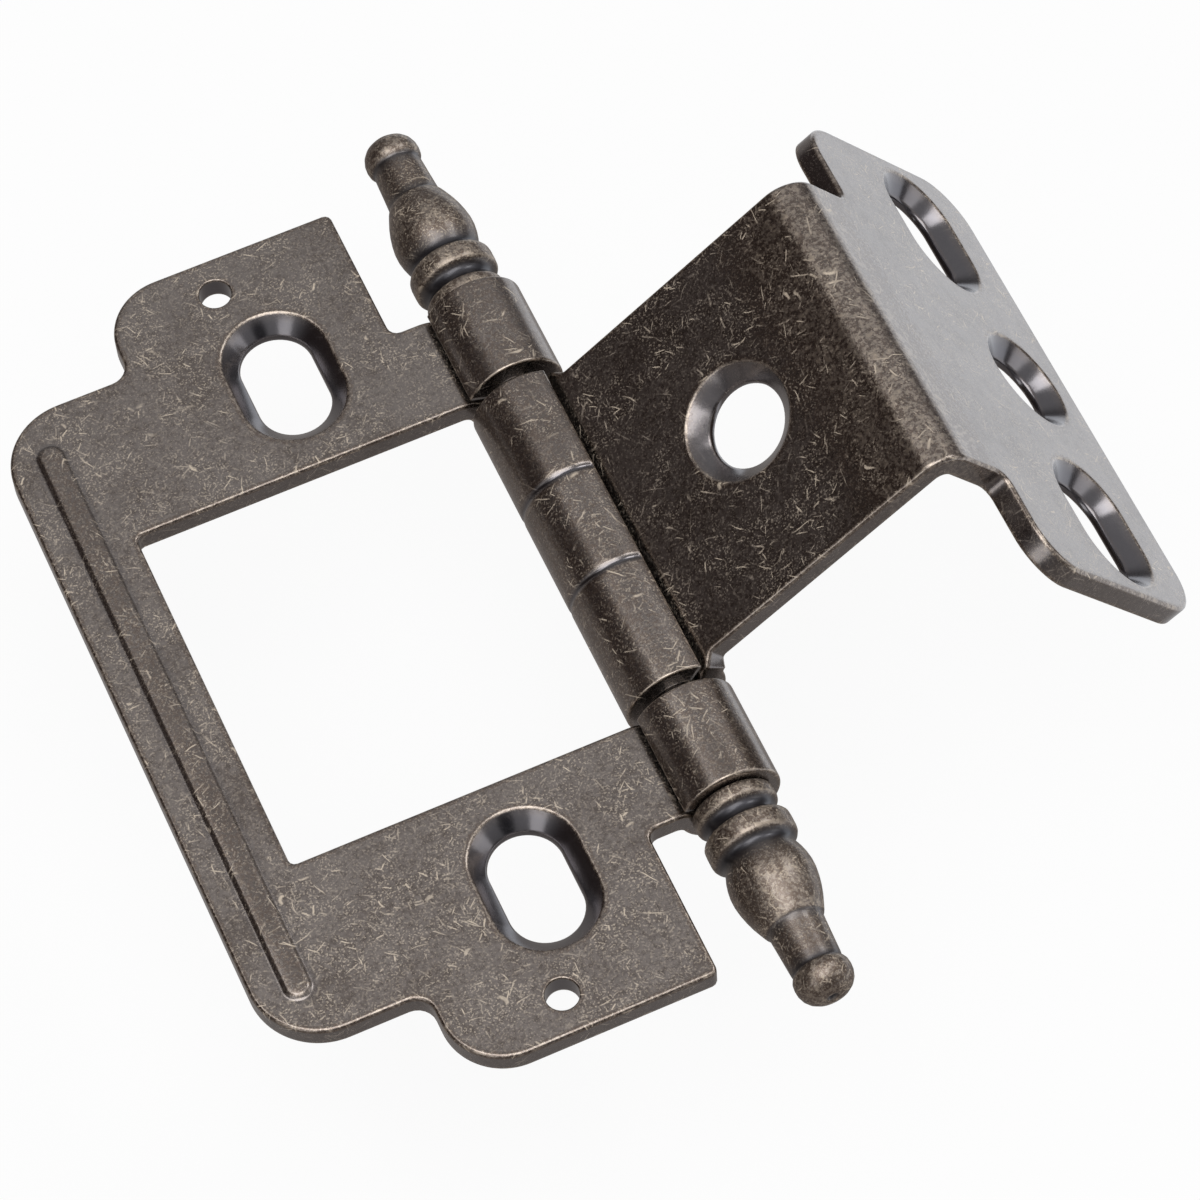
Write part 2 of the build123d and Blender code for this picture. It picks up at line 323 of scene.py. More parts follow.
@dataclass(frozen=True)
class AntiqueMetal:
    """Dark plated and lacquered metal, rubbed back so that crests and scratches show brass.

    A noise has a scale per millimetre, a detail and a roughness. A span is where a mask starts and is full.
    """

    name: str
    rub: Rub | None = None
    dark: Colour = rgb(0.165, 0.132, 0.112)
    base: Colour = rgb(0.278, 0.240, 0.217)
    pale: Colour = rgb(0.66, 0.56, 0.44)
    brass: Colour = rgb(0.46, 0.375, 0.29)
    rust: Colour = rgb(0.135, 0.090, 0.062)
    recess: Colour = rgb(0.125, 0.119, 0.132)
    gloss: float = 0.30
    recess_gloss: float = 0.18
    lacquer: float = 0.9
    wear: float = 0.8
    speck: float = 0.6
    cloud: Noise = (0.20, 3.0, 0.6)
    mottle: Noise = (1.2, 2.0, 0.65)
    grain: Noise = (3.0, 3.0, 0.75)
    fleck: Noise = (7.5, 1.0, 0.5)
    crowd: Noise = (0.40, 2.0, 0.6)
    crowded: Span = (0.40, 0.60)
    flecked: Span = (0.54, 0.66)
    toned: Span = (0.36, 0.58)
    torn: Span = (0.35, 0.90)
    fringed: tuple[Span, Span] = ((0.10, 0.34), (0.34, 0.60))
    ragged: Span = (0.7, 2.2)
    relief_mm: float = 0.025
    coat_rough: float = 0.18
    coat_ior: float = 1.6
    layers: tuple[Scratches, ...] = (
        Scratches(2.4, 0.054, 0.50, 3.1),
        Scratches(1.6, 0.050, 0.60, 17.3),
        Scratches(1.1, 0.046, 0.66, 41.9),
        Scratches(0.75, 0.042, 0.64, 67.7),
    )

    def _scratches(self, graph: Graph, where: Sock) -> Sock:
        """All the layers of scratches, on coordinates that wander a little."""
        wavy = graph.drift(where, scale=0.6, reach=0.25)
        return reduce(Sock.most, [layer.mask(graph, wavy) for layer in self.layers])

    def _worn(self, graph: Graph, where: Sock) -> Sock:
        """Wear stored on the piece, or rubbed in by handling where that is more."""
        worn = graph.attribute("worn")
        return worn.most(self.rub.wear(where)) if self.rub else worn

    def build(self) -> bpy.types.Material:
        """Make the material.

        Returns:
            The finished material.
        """
        material, graph = new_material(self.name)
        where = graph.place()
        cloud, mottle = graph.noise(where, *self.cloud), graph.noise(where, *self.mottle)
        grain, fleck = graph.noise(where, *self.grain), graph.noise(where, *self.fleck)
        crowd = graph.noise(where + (31.0, 7.0, 13.0), *self.crowd).ramp(*self.crowded, 0.16, 1.0)
        worn, deep = self._worn(graph, where), graph.attribute("deep")
        bare = 1.0 - deep
        scratch = self._scratches(graph, where) * crowd * bare
        speck = fleck.ramp(*self.flecked) * (crowd * 0.65 + 0.35) * bare * self.speck
        ragged = worn + (mottle - 0.5) * self.ragged[0] + (grain - 0.5) * self.ragged[1]
        broken = ragged.ramp(*self.torn) * self.wear
        fringe = ragged.ramp(*self.fringed[0]) - ragged.ramp(*self.fringed[1])
        tone = cloud * 0.35 + mottle * 0.25 + grain * 0.40
        colour = graph.tint(self.dark, self.base, tone.ramp(*self.toned))
        colour = graph.tint(colour, self.pale, speck)
        colour = graph.tint(colour, self.rust, worn.ramp(0.0, 0.12) * fringe * 0.7)
        colour = graph.tint(colour, self.pale, scratch)
        colour = graph.tint(colour, self.brass, worn.ramp(0.0, 0.2) * broken)
        # deep paints the recess colour: kept dark plating in hollows, and painted shade on walls, in peg
        # holes and at rib feet.
        colour = graph.tint(colour, self.recess, deep)
        rubbed = self.gloss + (grain - 0.5) * 0.30 + (scratch + speck) * 0.20
        rough = rubbed * bare + deep * self.recess_gloss
        metal = 1.0 - (scratch + speck * 0.6).least(1.0) * 0.6
        relief = ((grain - 0.5) * 0.8 + mottle * 0.4) * bare
        sockets = {"Strength": 0.7, "Distance": self.relief_mm * MM, "Height": relief}
        bump = graph.node("Bump", {}, sockets)
        shader = graph.node(
            "BsdfPrincipled",
            {},
            {
                "Base Color": colour,
                "Metallic": metal,
                "Roughness": rough,
                "Normal": bump,
                "Coat Weight": self.lacquer,
                "Coat Roughness": self.coat_rough,
                "Coat IOR": self.coat_ior,
            },
        )
        graph.node("OutputMaterial", {}, {"Surface": shader})
        return material


@dataclass(frozen=True)
class PaleTable:
    """White table that stays white for the camera and keeps a soft shadow.

    In reflections it carries a painted shadow under and beside the hinge, and is white to the right of it.
    """

    name: str = "pale_table"
    colour: Colour = rgb(0.86, 0.86, 0.86)
    held: float = 0.93
    cool: Colour = rgb(0.90, 0.94, 1.0)
    painted_shadow_tone: Colour = rgb(0.24, 0.22, 0.21)
    painted_shadow_until: Span = (46.0, 66.0)

    def build(self) -> bpy.types.Material:
        """Make the material.

        Returns:
            The finished material.
        """
        material, graph = new_material(self.name)
        seen = graph.node("LightPath", out="Is Camera Ray")
        source = seen.port.node
        glossy = Sock(graph, source.outputs["Is Glossy Ray"])
        through = Sock(graph, source.outputs["Is Transmission Ray"])
        share = seen.most(glossy).most(through) * self.held
        # Painted shadow: glossy rays that meet the table under and beside the hinge see a dark tone in
        # place of the hinge's shade.
        near = graph.place().dot((1.0, 0.12, 0.0)).ramp(*self.painted_shadow_until, 1.0, 0.0)
        glow = graph.tint(rgb(1, 1, 1), self.cool, glossy)
        glow = graph.tint(glow, self.painted_shadow_tone, near * glossy)
        cloth = graph.node("BsdfDiffuse", {}, {"Color": self.colour})
        white = graph.node("Emission", {}, {"Color": glow, "Strength": 1.0})
        mixed = graph.node("MixShader", {}, {0: share, 1: cloth, 2: white})
        graph.node("OutputMaterial", {}, {"Surface": mixed})
        return material


# ---- sheet metal


@dataclass(frozen=True)
class Run:
    """One straight or turned length of a section, from its start point."""

    start: float
    origin: Vector
    heading: float
    length: float
    turn: float


@dataclass
class Section:
    """Middle line of a bent sheet in the plane across the pin.

    Args:
        origin: start of the middle line, from the pin axis.
        heading: direction of the first run, in degrees.
        bends: length and turn, in degrees, of each run in order.
        side: 1 where the sheet's upper face is on the left of the line, else -1.
    """

    origin: Vector
    heading: float
    bends: Sequence[tuple[float, float]]
    side: int
    runs: list[Run] = field(default_factory=list)

    def __post_init__(self) -> None:
        """Work out where each run starts."""
        point, angle, done = self.origin.copy(), radians(self.heading), 0.0
        for length, turn in self.bends:
            run = Run(done, point.copy(), angle, length, radians(turn))
            self.runs.append(run)
            point, angle = self._along(run, length)
            done += length

    @staticmethod
    def _along(run: Run, far: float) -> tuple[Vector, float]:
        """Point and heading at a distance along one run."""
        if run.turn == 0.0:
            return run.origin + far * Vector((cos(run.heading), sin(run.heading))), run.heading
        radius = run.length / run.turn
        now = run.heading + far / radius
        centre = run.origin + radius * Vector((-sin(run.heading), cos(run.heading)))
        return centre + radius * Vector((sin(now), -cos(now))), now

    def at(self, along: float, height: float) -> Vector:
        """Place a point of the flat blank on the bent sheet.

        Args:
            along: distance along the middle line.
            height: distance from the middle line, up on the upper face.

        Returns:
            The point across the pin.
        """
        run = next((r for r in reversed(self.runs) if r.start <= along), self.runs[0])
        point, angle = self._along(run, along - run.start)
        return point + height * self.side * Vector((-sin(angle), cos(angle)))

    def start_of(self, index: int) -> float:
        """Distance at which a run starts."""
        return self.runs[index].start

    @property
    def total(self) -> float:
        """Length of the whole middle line."""
        return self.runs[-1].start + self.runs[-1].length

    def turning(self, along: float) -> bool:
        """Whether the sheet is bent at that distance."""
        return any(r.turn and r.start - SAME < along < r.start + r.length + SAME for r in self.runs)

    def stations(self, step: float) -> list[float]:
        """Distances at which the blank is cut so that its bends come out smooth.

        Args:
            step: largest turn between two cuts, in degrees.

        Returns:
            The distances in order.
        """
        cuts: list[float] = []
        for run in self.runs:
            count = max(1, round(abs(degrees(run.turn)) / step))
            cuts += [run.start + run.length * i / count for i in range(count)]
        return [c for c in cuts if c > SAME]


@dataclass(frozen=True)
class Rolled:
    """Sizes shared by both leaves where they roll round the pin."""

    barrel_r: float = BARREL_R
    reverse_r: float = 1.6
    end_deg: float = 21.5

    @property
    def mid_r(self) -> float:
        """Radius of the roll's middle line."""
        return self.barrel_r - HALF

    @property
    def out(self) -> float:
        """Distance from the pin at which the flat sheet ends."""
        return sqrt((self.reverse_r + self.mid_r) ** 2 - self.reverse_r**2)

    def bends(self, side: Side) -> list[tuple[float, float]]:
        """Reverse bend and roll, as lengths and turns in degrees."""
        lean = degrees(atan2(self.reverse_r, self.out))
        back, roll = 90 - lean, 360 - self.end_deg - lean
        sign = side.value
        return [(radians(back) * self.reverse_r, -back * sign), (radians(roll) * self.mid_r, roll * sign)]


@dataclass(frozen=True)
class Level:
    """One station of an edge: depth into the metal, height, how worn it is, and how dark it is made (kept
    dark plating, and painted shade on walls, in peg holes and at a rib's foot).
    """

    depth: float
    height: float
    worn: float = 0.0
    deep: float = 0.0


def eased_edge(upper: float, lower: float, sooty: float = 0.38) -> list[Level]:
    """Stations of a stamped edge from the upper face down to the lower face.

    Args:
        upper: radius of the upper edge.
        lower: radius of the lower edge.
        sooty: how much the wall is darkened: dark plating that it keeps, and painted shade on the wall.

    Returns:
        The stations in order.
    """
    turns = [radians(turn) for turn in (90, 67, 45, 22, 0)]
    levels = [Level(upper + 0.22, HALF), Level(upper + 0.05, HALF, 0.28)]
    for turn in turns:
        wear = 0.30 + 0.22 * sin(2 * turn) if turn else 0.20
        levels.append(Level(upper * (1 - cos(turn)), HALF - upper * (1 - sin(turn)), wear))
    levels.append(Level(0.0, HALF - upper - 0.12, 0.0, sooty))
    levels.append(Level(0.0, -HALF + lower + 0.2, 0.0, sooty))
    for turn in reversed(turns):
        wear = 0.35 + 0.45 * sin(2 * turn)
        levels.append(Level(lower * (1 - cos(turn)), -HALF + lower * (1 - sin(turn)), wear))
    levels.append(Level(lower + 0.05, -HALF, 0.2))
    levels.append(Level(lower + 0.35, -HALF))
    return levels


def sunk_edge(depth: float, sooty: float = 0.9) -> list[Level]:
    """Stations of a countersunk hole, outwards from its bore.

    Args:
        depth: depth and width of the 45 degree sink.
        sooty: how much of the dark plating the sink keeps.

    Returns:
        The stations from the upper face down to the lower face.
    """
    low = HALF - depth
    rim = sooty * 0.7
    return [
        Level(depth + 0.45, HALF),
        Level(depth + 0.16, HALF, 0.30),
        Level(depth + 0.08, HALF - 0.01, 0.55),
        Level(depth - 0.02, HALF - 0.06, 0.50),
        Level(depth - 0.12, HALF - 0.14, 0.15, rim),
        Level(depth * 0.55, low + depth * 0.55, 0.0, sooty),
        Level(0.16, low + 0.16, 0.0, sooty),
        Level(0.05, low + 0.03, 0.15, rim),
        Level(0.0, low - 0.08, 0.0, sooty),
        Level(0.0, -HALF + 0.16, 0.0, sooty),
        Level(0.05, -HALF + 0.04, 0.3),
        Level(0.14, -HALF, 0.2),
        Level(0.45, -HALF),
    ]


# Width, height, wear and darkening at each station of a rib, as shares of its half width and its rise; the
# darkening at the foot is painted shade along both sides of the rib.
RIB_STATIONS = (
    (1.45, 0.0, 0.0, 0.0), (1.14, 0.0, 0.0, 0.20), (1.02, 0.06, 0.0, 0.26), (0.90, 0.40, 0.0, 0.06),
    (0.78, 0.80, 0.16, 0.0), (0.62, 0.97, 0.22, 0.0), (0.14, 1.0, 0.20, 0.0),
)


def mitres(spots: Sequence[Vector]) -> list[Vector]:
    """Directions into the metal at the corners of an outline, so long that the edge keeps its width.

    Args:
        spots: corners of the outline, anticlockwise.

    Returns:
        One direction for each corner.
    """
    ways = []
    for before, spot, after in zip([spots[-1], *spots], spots, [*spots[1:], spots[0]]):
        first, second = (spot - before).normalized(), (after - spot).normalized()
        left, right = (Vector((-way.y, way.x, 0.0)) for way in (first, second))
        ways.append((left + right) / (1 + left.dot(right)))
    return ways


def slot_rim(radius: float, core: float, segments: int) -> list[tuple[Vector, Vector]]:
    """Rim of a slot along Y about the origin.

    Args:
        radius: radius of its ends.
        core: half of the distance between the ends' middles.
        segments: vertices round it.

    Returns:
        For each vertex the way to it from the middle of its end, and that middle.
    """
    draft = bmesh.new()
    turn = Matrix.Rotation(radians(180 / segments), 4, "Z")
    made = bmesh.ops.create_circle(draft, cap_ends=False, segments=segments, radius=radius, matrix=turn)
    ways = [v.co.copy() for v in made["verts"]]
    draft.free()
    return [(way, Vector((0.0, core if way.y > 0 else -core, 0.0))) for way in ways]


@dataclass(frozen=True)
class Corner:
    """Corner of a blank, with the radius that rounds it."""

    along: float
    across: float
    radius: float = 0.0


class Blank:
    """Stamped sheet in one mesh: drawn flat with rolled over edges, then bent to a section.

    X of the flat blank is the distance along the section and Y runs along the pin.
    """

    def __init__(self) -> None:
        """Start an empty mesh with its wear layer and its darkening layer, which holds kept dark plating
        and painted shade.
        """
        self.mesh = bmesh.new()
        self.worn = self.mesh.verts.layers.float.new("worn")
        self.deep = self.mesh.verts.layers.float.new("deep")

    def outline(self, half: Sequence[Corner], levels: Sequence[Level]) -> None:
        """Draw the outer edge, which is the same on both sides of the pin's middle.

        Args:
            half: corners of one half of the outline, anticlockwise.
            levels: stations of the edge.
        """
        corners = [*half, *(Corner(c.along, -c.across, c.radius) for c in reversed(half))]
        draft = bmesh.new()
        verts = [draft.verts.new((c.along, c.across, 0.0)) for c in corners]
        draft.faces.new(verts)
        for vert, corner in zip(verts, corners):
            if corner.radius:
                before, after = (e.other_vert(vert).co - vert.co for e in vert.link_edges)
                reach = corner.radius * tan((pi - before.angle(after)) / 2)
                bmesh.ops.bevel(
                    draft, geom=[vert], offset=reach, offset_type="OFFSET", affect="VERTICES",
                    segments=max(3, round(corner.radius * 5)), profile=0.5, material=-1,
                )
        spots = [loop.vert.co.copy() for loop in next(iter(draft.faces)).loops]
        draft.free()
        self._ring(spots, mitres(spots), levels)

    def hole(
        self, along: float, across: float, half_l: float, radius: float, levels: Sequence[Level]
    ) -> None:
        """Pierce a round hole or a slot that is long along the pin.

        Args:
            along: centre along the section.
            across: centre along the pin.
            half_l: half of the slot's length.
            radius: radius of its ends.
            levels: stations of its edge.
        """
        rim = slot_rim(radius, half_l - radius, RING_SEGMENTS)
        centre = Vector((along, across, 0.0))
        spots = [way + middle + centre for way, middle in rim]
        self._ring(spots, [way.normalized() for way, _ in rim], levels)

    def _ring(self, spots: list[Vector], into: list[Vector], levels: Sequence[Level]) -> list[Edge]:
        """Draw a closed edge through its stations.

        Args:
            spots: corners of the ring.
            into: direction into the metal at each.
            levels: stations of the edge.

        Returns:
            The edges at the last station.
        """
        verts = [self.mesh.verts.new(spot) for spot in spots]
        edges = [self.mesh.edges.new(pair) for pair in zip(verts, [*verts[1:], verts[0]])]
        for step, level in enumerate(levels):
            if step:
                made = bmesh.ops.extrude_edge_only(self.mesh, edges=edges)["geom"]
                fresh = {g for g in made if isinstance(g, bmesh.types.BMVert)}
                verts = [next(o for e in v.link_edges if (o := e.other_vert(v)) in fresh) for v in verts]
                edges = [g for g in made if isinstance(g, Edge) and fresh.issuperset(g.verts)]
            for vert, spot, way in zip(verts, spots, into):
                vert.co = spot + way * level.depth
                vert.co.z = level.height
                vert[self.worn], vert[self.deep] = level.worn, level.deep
        return edges

    def rib(self, along: float, half_l: float, half_w: float, rise: float, upper: bool) -> None:
        """Press a long rib with round ends into one face.

        Args:
            along: place along the section.
            half_l: half of its length.
            half_w: half of its width.
            rise: height over the face, negative for a hollow.
            upper: whether it is in the upper face.
        """
        rim = slot_rim(half_w, half_l - half_w, RIB_SEGMENTS)
        spots = [middle + Vector((along, 0.0, 0.0)) for _, middle in rim]
        sign = 1 if upper else -1
        # The last column darkens the rib's foot: painted shade along both sides of the rib.
        levels = [
            Level(out * half_w, sign * (HALF + rise * share), worn, deep)
            for out, share, worn, deep in RIB_STATIONS
        ]
        edges = self._ring(spots, [way.normalized() for way, _ in rim], levels)
        bmesh.ops.edgeloop_fill(self.mesh, edges=edges)

    def rub(self, start: float, stop: float) -> None:
        """Wear the lower face of a bent length.

        Args:
            start: where the length starts along the section.
            stop: where it stops.
        """
        for vert in self.mesh.verts:
            if start < vert.co.x < stop and abs(vert.co.z + HALF) < NEAR:
                share = (vert.co.x - start) / (stop - start)
                vert[self.worn] = max(vert[self.worn], ROLL_WEAR * sqrt(sin(pi * share)))

    def close(self, section: Section) -> None:
        """Cut the edges where the sheet bends, then fill the upper and the lower face."""
        cuts = section.stations(CUT_DEG)
        for along in cuts:
            self.cut(Vector((along, 0, 0)), Vector((1, 0, 0)))
        bmesh.ops.remove_doubles(self.mesh, verts=self.mesh.verts[:], dist=10 * SAME)
        for way in (1, -1):
            self._fill(section, cuts, way)
        bmesh.ops.recalc_face_normals(self.mesh, faces=self.mesh.faces[:])

    def _fill(self, section: Section, cuts: Sequence[float], way: int) -> None:
        """Fill one face: strips where the sheet bends, triangles where it is flat."""
        rim = [
            e for e in self.mesh.edges
            if len(e.link_faces) == 1 and all(v.co.z * way > HALF - SAME for v in e.verts)
        ]
        corners = {v for e in rim for v in e.verts}
        bars: list[tuple[float, Edge]] = []
        for along in cuts:
            row = sorted((v for v in corners if abs(v.co.x - along) < SAME), key=lambda v: v.co.y)
            pairs = zip(row[::2], row[1::2])
            bars += [(along, self.mesh.edges.get(pair) or self.mesh.edges.new(pair)) for pair in pairs]
        for run in section.runs:
            low, high = run.start, run.start + run.length
            if run.turn:
                self._strips(rim, [b for b in bars if low - SAME < b[0] < high + SAME], high)
                continue
            inside = [e for e in rim if low < (e.verts[0].co.x + e.verts[1].co.x) / 2 < high]
            ends = [e for along, e in bars if min(abs(along - low), abs(along - high)) < SAME]
            bmesh.ops.triangle_fill(
                self.mesh, use_beauty=True, use_dissolve=False, edges=[*inside, *ends], normal=(0, 0, way)
            )

    def _strips(self, rim: list[Edge], bars: list[tuple[float, Edge]], high: float) -> None:
        """Fill the strips between neighbouring bars of one bend, which ends at high."""
        spread = 1.2  # how far, in millimetres, a strip may grow wider before the next bar
        for along, bar in bars:
            ys = sorted(v.co.y for v in bar.verts)
            middle = sum(ys) / 2
            beyond = [b for b in bars if b[0] > along + SAME]
            later = [b for b in beyond if sum(v.co.y for v in b[1].verts) * middle > -spread]
            following = min(later, key=lambda b: b[0]) if later else None
            stop = following[0] if following else high
            if stop - along < SAME:
                continue
            spots = [(edge, (edge.verts[0].co + edge.verts[1].co) / 2) for edge in rim]
            sides = [e for e, m in spots if along < m.x < stop and ys[0] - spread < m.y < ys[1] + spread]
            if len(sides) > 1:
                closing = [following[1]] if following else []
                bmesh.ops.contextual_create(self.mesh, geom=list(dict.fromkeys([bar, *sides, *closing])))

    def cut(self, spot: Vector, way: Vector, start: float = -1e3) -> None:
        """Cut by a plane the faces that lie beyond a distance along the section."""
        faces = [f for f in self.mesh.faces if f.calc_center_median().x > start]
        edges = {e for f in faces for e in f.edges}
        verts = {v for f in faces for v in f.verts}
        geom = [*verts, *edges, *faces]
        bmesh.ops.bisect_plane(self.mesh, geom=geom, dist=SAME / 10, plane_co=spot, plane_no=way)

    def finish(
        self, section: Section, name: str, placing: Matrix, material: bpy.types.Material
    ) -> bpy.types.Object:
        """Bend the blank and make it an object.

        Args:
            section: the section it is bent to.
            name: name of the piece.
            placing: turn from the leaf's own place to rest.
            material: its finish.

        Returns:
            The finished piece, with its place in its mesh.
        """
        for face in self.mesh.faces:
            level = all(abs(abs(v.co.z) - HALF) < SAME for v in face.verts)
            face.smooth = not level or section.turning(face.calc_center_median().x)
        for vert in self.mesh.verts:
            spot = section.at(vert.co.x, vert.co.z)
            vert.co = Vector((spot.x, vert.co.y, spot.y))
        bmesh.ops.recalc_face_normals(self.mesh, faces=self.mesh.faces[:])
        move = Matrix.Scale(MM, 4) @ Matrix.Translation(PIN_AXIS) @ placing
        bmesh.ops.transform(self.mesh, matrix=move, verts=self.mesh.verts[:])
        return as_object(self.mesh, name, material)


def as_object(mesh: bmesh.types.BMesh, name: str, material: bpy.types.Material) -> bpy.types.Object:
    """Turn a bmesh into an object of the scene.

    Args:
        mesh: the geometry, which is freed.
        name: name of the piece.
        material: its finish.

    Returns:
        The new object.
    """
    data = bpy.data.meshes.new(name)
    mesh.to_mesh(data)
    mesh.free()
    data.materials.append(material)
    piece = bpy.data.objects.new(name, data)
    bpy.context.scene.collection.objects.link(piece)
    return piece


# ---- leaves


@dataclass
class FrameLeaf:
    """Flat leaf that is screwed to the frame, with its window and two knuckles."""

    rolled: Rolled = field(default_factory=Rolled)
    reach: float = 32.9
    half_h: float = 25.32
    corner_r: float = 4.8
    tab_half_h: float = 31.75
    tab_near: float = 5.83
    tab_far: float = 22.85
    tab_round_r: float = 4.2
    tab_corner_r: float = 0.5
    tab_foot_r: float = 1.3
    notch_y: float = 20.8
    notch_r: float = 0.7
    window_reach: float = 27.1
    window_half_h: float = 13.4
    window_r: float = 0.45
    slot_y: float = 20.86
    slot_half_l: float = 4.05
    slot_half_w: float = 2.5
    sink: float = 1.17
    peg_x: float = 15.27
    peg_y: float = 28.96
    peg_r: float = 1.1
    bead_x: float = 29.95
    bead_half_l: float = 22.4
    bead_half_w: float = 0.95
    bead_rise: float = 0.25
    bead_hollow: float = 0.2

    def section(self) -> Section:
        """Flat sheet, reverse bend and roll."""
        flat = self.reach - self.rolled.out
        bends = [(flat, 0.0), *self.rolled.bends(Side.FRAME)]
        return Section(Vector((-self.reach, 0.0)), 0.0, bends, 1)

    def _half_outline(self, end: float) -> list[Corner]:
        """Corners of the upper half, from the window round to the outer edge."""
        far = self.reach
        return [
            Corner(far - self.window_reach, self.window_half_h, self.window_r),
            Corner(end, self.window_half_h),
            Corner(end, self.notch_y),
            Corner(far - self.tab_near, self.notch_y, self.notch_r),
            Corner(far - self.tab_near, self.tab_half_h, self.tab_corner_r),
            Corner(far - self.tab_far, self.tab_half_h, self.tab_round_r),
            Corner(far - self.tab_far, self.half_h, self.tab_foot_r),
            Corner(0.0, self.half_h, self.corner_r),
        ]

    def build(self, finish: bpy.types.Material) -> bpy.types.Object:
        """Build the leaf.

        Args:
            finish: its material.

        Returns:
            The finished piece.
        """
        section = self.section()
        blank = Blank()
        blank.outline(self._half_outline(section.total), eased_edge(0.24, 0.16))
        # The peg holes' walls are made dark right through: painted shade inside the small holes.
        sunk, plain = sunk_edge(self.sink), eased_edge(0.12, 0.08, 0.9)
        slot_x, peg_x = self.reach - PIN_AXIS.x, self.reach - self.peg_x
        for side in (1, -1):
            blank.hole(slot_x, side * self.slot_y, self.slot_half_l, self.slot_half_w, sunk)
            blank.hole(peg_x, side * self.peg_y, self.peg_r, self.peg_r, plain)
        spot = self.reach - self.bead_x
        blank.rib(spot, self.bead_half_l, self.bead_half_w, self.bead_rise, True)
        blank.rib(spot, self.bead_half_l - 0.3, self.bead_half_w - 0.15, -self.bead_hollow, False)
        blank.close(section)
        blank.rub(section.start_of(1), section.total)
        return blank.finish(section, "frame_leaf_sheet", Matrix.Identity(4), finish)


@dataclass
class DoorLeaf:
    """Leaf that wraps the edge of the door: barrel, panel, right angle bend and flange."""

    rolled: Rolled = field(default_factory=Rolled)
    barrel_half_l: float = 12.5
    groove_y: tuple[float, float] = (4.3, -3.35)
    groove_half_w: float = 0.3
    groove_depth: float = 0.14
    panel_half_h: float = 11.75
    flange_face: float = 24.88
    bend_r: float = 2.4
    flange_depth: float = 25.72
    flange_half_h: float = 19.0
    ear_start: float = 6.75
    ear_foot_r: float = 0.9
    ear_round_r: float = 3.3
    flange_corner_r: float = 3.8
    panel_hole: float = 13.34
    panel_hole_r: float = 2.85
    middle_in: float = 19.74
    middle_r: float = 2.7
    end_in: float = 18.25
    end_y: float = 12.7
    end_half_l: float = 4.12
    end_half_w: float = 2.6
    sink: float = 1.17

    @property
    def placing(self) -> Matrix:
        """Turn of the leaf about the pin at rest."""
        return Matrix.Rotation(-REST_TURN, 4, "Y")

    def bend_line(self) -> Vector:
        """Place, at rest, of the line that the right angle bend turns round, moved towards the panel."""
        along = self.flange_face - self.bend_r - 0.8
        return PIN_AXIS + self.placing @ Vector((along, 0.0, HALF - self.bend_r))

    def section(self) -> Section:
        """Flange, right angle bend, panel, reverse bend and roll."""
        flange = self.flange_depth - self.bend_r
        corner = (self.bend_r - HALF) * pi / 2
        panel = self.flange_face - self.bend_r - self.rolled.out
        bends = [(flange, 0.0), (corner, 90.0), (panel, 0.0), *self.rolled.bends(Side.DOOR)]
        return Section(Vector((self.flange_face - HALF, HALF - self.flange_depth)), 90.0, bends, -1)

    def _half_outline(self, section: Section) -> list[Corner]:
        """Corners of one half, from the flange's free edge to the roll."""
        ear = self.flange_depth - self.ear_start
        root = section.start_of(3)
        return [
            Corner(0.0, -self.flange_half_h, self.flange_corner_r),
            Corner(ear, -self.flange_half_h, self.ear_round_r),
            Corner(ear, -self.panel_half_h, self.ear_foot_r),
            Corner(root - 0.1, -self.panel_half_h, 0.4),
            Corner(root + 0.5, -self.barrel_half_l),
            Corner(section.total, -self.barrel_half_l),
        ]

    def build(self, finish: bpy.types.Material) -> bpy.types.Object:
        """Build the leaf.

        Args:
            finish: its material.

        Returns:
            The finished piece.
        """
        section = self.section()
        blank = Blank()
        blank.outline(self._half_outline(section), eased_edge(0.26, 0.16))
        sunk = sunk_edge(self.sink)
        centre = section.start_of(3) + self.rolled.out - self.panel_hole
        middle, end = self.flange_depth - self.middle_in, self.flange_depth - self.end_in
        blank.hole(centre, 0.0, self.panel_hole_r, self.panel_hole_r, sunk_edge(self.sink, 0.7))
        blank.hole(middle, 0.0, self.middle_r, self.middle_r, sunk)
        for side in (1, -1):
            blank.hole(end, side * self.end_y, self.end_half_l, self.end_half_w, sunk)
        blank.close(section)
        self._turn_grooves(blank, section)
        blank.rub(section.start_of(3), section.total)
        return blank.finish(section, "door_leaf_sheet", self.placing, finish)

    def _turn_grooves(self, blank: Blank, section: Section) -> None:
        """Turn the two shallow grooves into the barrel; shares are in half widths of a groove."""
        start = section.start_of(4) - 0.3
        shares = (-2.4, -1.3, -0.9, -0.5, 0.0, 0.5, 0.9, 1.3, 2.4)
        lip, reach = 1.1, 1.4
        for middle in self.groove_y:
            for share in shares:
                blank.cut(Vector((0, middle + share * self.groove_half_w, 0)), Vector((0, 1, 0)), start)
        for vert in blank.mesh.verts:
            if vert.co.x < start or vert.co.z > -HALF + NEAR:
                continue
            near = min(abs(vert.co.y - middle) for middle in self.groove_y) / self.groove_half_w
            if near < reach:
                vert.co.z += self.groove_depth * max(0.0, 1 - near)
                vert[blank.deep] = max(0.0, 1 - near * 0.9)
                vert[blank.worn] = 0.45 if near > lip else 0.0


# ---- finials


